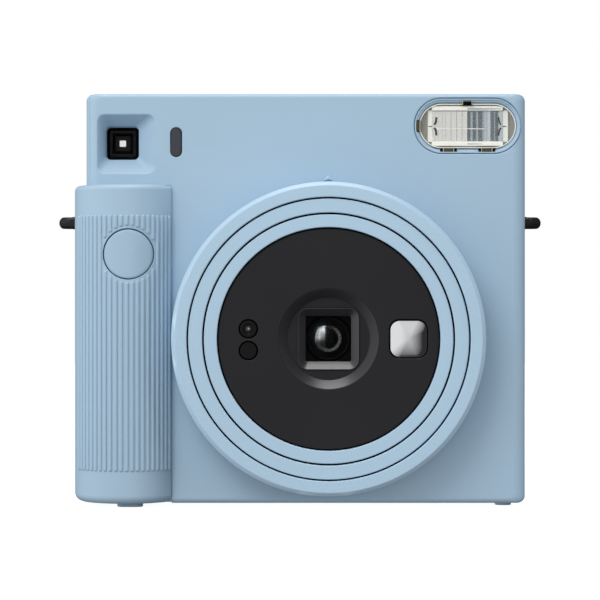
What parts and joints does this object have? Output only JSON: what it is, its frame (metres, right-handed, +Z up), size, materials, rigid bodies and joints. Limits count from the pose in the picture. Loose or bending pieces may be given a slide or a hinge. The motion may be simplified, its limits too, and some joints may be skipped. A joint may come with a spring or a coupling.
{
  "type": "instant camera",
  "caption": "Square-format instant film camera with a ribbed hand grip, round twist-out lens, flash, viewfinder and hinged film door.",
  "frame": {"origin": "on the resting surface, under the middle of the camera's box", "axes": "+X towards the flash side (right as seen from in front), +Y towards the back, +Z up; the lens looks along -Y"},
  "size_m": [0.1414, 0.0576, 0.1186],
  "materials": {
    "body_blue": "matte, fine texture",
    "ring_blue": "matte, fine spark texture",
    "black_plastic": "satin",
    "dark_window": "gloss",
    "lens_glass": "polished, coated",
    "clear_plastic": "polished",
    "amber_window": "polished",
    "mirror": "polished, slightly domed",
    "reflector": "bright",
    "steel": "bright",
    "white_plastic": "satin",
    "rubber": "matte",
    "battery_wrap": "gloss",
    "circuit_board": "satin"
  },
  "bodies": {
    "camera_body": {"front_cover": "body_blue", "rear_cover": "body_blue", "grip_cover": "body_blue", "flash_bezel": "body_blue", "lens_housing": "black_plastic", "viewfinder_tube": "black_plastic", "exposure_chamber": "black_plastic", "film_cartridge": "black_plastic", "flash_capacitor": "black_plastic", "strap_lug_left": "black_plastic", "strap_lug_right": "black_plastic", "flash_sensor_window": "dark_window", "viewfinder_objective": "lens_glass", "eyepiece_lens": "lens_glass", "flash_window": "clear_plastic", "flash_tube": "clear_plastic", "counter_window": "clear_plastic", "flash_reflector": "reflector", "motor": "steel", "roller_bracket": "steel", "battery_contact": "steel", "door_hinge_pin": "steel", "shutter_spring": "steel", "case_screw_1": "steel", "case_screw_2": "steel", "film_sheets": "white_plastic", "eyepiece_surround": "rubber", "foot_front_left": "rubber", "foot_front_right": "rubber", "foot_rear": "rubber", "battery_lower": "battery_wrap", "battery_upper": "battery_wrap", "circuit_board": "circuit_board", "shutter_switch": "circuit_board"},
    "mode_dial_body": {"mode_dial": "ring_blue"},
    "barrel_outer_body": {"lens_barrel_outer": "ring_blue"},
    "lens_block": {"lens_barrel_inner": "ring_blue", "lens_faceplate": "black_plastic", "lens_hood_frame": "black_plastic", "lens_cell": "black_plastic", "lens_element_front": "lens_glass", "lens_element_rear": "lens_glass", "shutter_unit": "black_plastic", "selfie_mirror": "mirror", "light_sensor_window_upper": "dark_window", "light_sensor_window_lower": "dark_window"},
    "shutter_blade_left_body": {"shutter_blade_left": "steel"},
    "shutter_blade_right_body": {"shutter_blade_right": "steel"},
    "shutter_button_body": {"shutter_button": "body_blue"},
    "film_door_body": {"film_door": "body_blue", "pack_window": "amber_window"},
    "door_latch_body": {"door_latch": "black_plastic"},
    "battery_door_body": {"battery_door": "body_blue"},
    "drive_roller_body": {"drive_roller": "steel", "roller_gear": "white_plastic"},
    "pinch_roller_body": {"pinch_roller": "steel"},
    "intermediate_gear_body": {"intermediate_gear": "white_plastic"},
    "motor_pinion_body": {"motor_pinion": "white_plastic"},
    "film_counter_body": {"film_counter_dial": "white_plastic"},
    "film_claw_body": {"film_claw": "steel"}
  },
  "joints": [
    {"name": "dial_turn", "type": "hinge", "parent": "camera_body", "child": "mode_dial_body", "pos_m": [0.0081, -0.023, 0.0483], "axis": [0, -1, 0], "range_deg": [0, 60]},
    {"name": "barrel_outer_slide", "type": "slide", "parent": "camera_body", "child": "barrel_outer_body", "axis": [0, -1, 0], "range_m": [0, 0.00901]},
    {"name": "lens_block_slide", "type": "slide", "parent": "barrel_outer_body", "child": "lens_block", "axis": [0, -1, 0], "range_m": [0, 0.00901]},
    {"name": "shutter_blade_left_swing", "type": "hinge", "parent": "lens_block", "child": "shutter_blade_left_body", "pos_m": [0.0001, -0.0087, 0.0393], "axis": [0, -1, 0], "range_deg": [0, 75], "stiffness_Nm_per_rad": 0.001, "springref_deg": -11.46},
    {"name": "shutter_blade_right_swing", "type": "hinge", "parent": "lens_block", "child": "shutter_blade_right_body", "pos_m": [0.0161, -0.008, 0.0393], "axis": [0, 1, 0], "range_deg": [0, 75]},
    {"name": "shutter_press", "type": "slide", "parent": "camera_body", "child": "shutter_button_body", "axis": [0, 1, 0], "range_m": [0, 0.0012], "stiffness_N_per_m": 1200, "springref_m": -0.0008, "deforming": ["shutter_spring"]},
    {"name": "film_door_swing", "type": "hinge", "parent": "camera_body", "child": "film_door_body", "pos_m": [0.06, 0.0269, 0.054], "axis": [0, 0, -1], "range_deg": [0, 115]},
    {"name": "door_latch_slide", "type": "slide", "parent": "camera_body", "child": "door_latch_body", "axis": [0, 0, 1], "range_m": [0, 0.003], "stiffness_N_per_m": 400, "springref_m": -0.002},
    {"name": "battery_door_swing", "type": "hinge", "parent": "camera_body", "child": "battery_door_body", "pos_m": [-0.06445, 0.0222, 0.036], "axis": [0, 0, -1], "range_deg": [0, 90]},
    {"name": "drive_roller_spin", "type": "hinge", "parent": "camera_body", "child": "drive_roller_body", "pos_m": [0.008, 0.0082, 0.108], "axis": [1, 0, 0], "continuous": true},
    {"name": "pinch_roller_spin", "type": "hinge", "parent": "camera_body", "child": "pinch_roller_body", "pos_m": [0.008, 0.0158, 0.108], "axis": [1, 0, 0], "continuous": true},
    {"name": "intermediate_gear_spin", "type": "hinge", "parent": "camera_body", "child": "intermediate_gear_body", "pos_m": [0.0595, 0.00911, 0.09102], "axis": [1, 0, 0], "continuous": true},
    {"name": "motor_pinion_spin", "type": "hinge", "parent": "camera_body", "child": "motor_pinion_body", "pos_m": [0.0595, -0.004, 0.092], "axis": [1, 0, 0], "continuous": true},
    {"name": "film_counter_turn", "type": "hinge", "parent": "camera_body", "child": "film_counter_body", "pos_m": [-0.052, 0.0227, 0.078], "axis": [0, -1, 0], "range_deg": [0, 330]},
    {"name": "film_claw_slide", "type": "slide", "parent": "camera_body", "child": "film_claw_body", "axis": [0, 0, 1], "range_m": [0, 0.008], "stiffness_N_per_m": 60, "springref_m": -0.004}
  ],
  "couplings": [
    {"joint": "barrel_outer_slide", "follows": "dial_turn", "m_per_rad": 0.0085944},
    {"joint": "lens_block_slide", "follows": "dial_turn", "m_per_rad": 0.0085944},
    {"joint": "shutter_blade_right_swing", "follows": "shutter_blade_left_swing", "ratio": 1},
    {"joint": "pinch_roller_spin", "follows": "drive_roller_spin", "ratio": -1},
    {"joint": "intermediate_gear_spin", "follows": "drive_roller_spin", "ratio": -0.71429},
    {"joint": "motor_pinion_spin", "follows": "drive_roller_spin", "ratio": 2.2222}
  ]
}
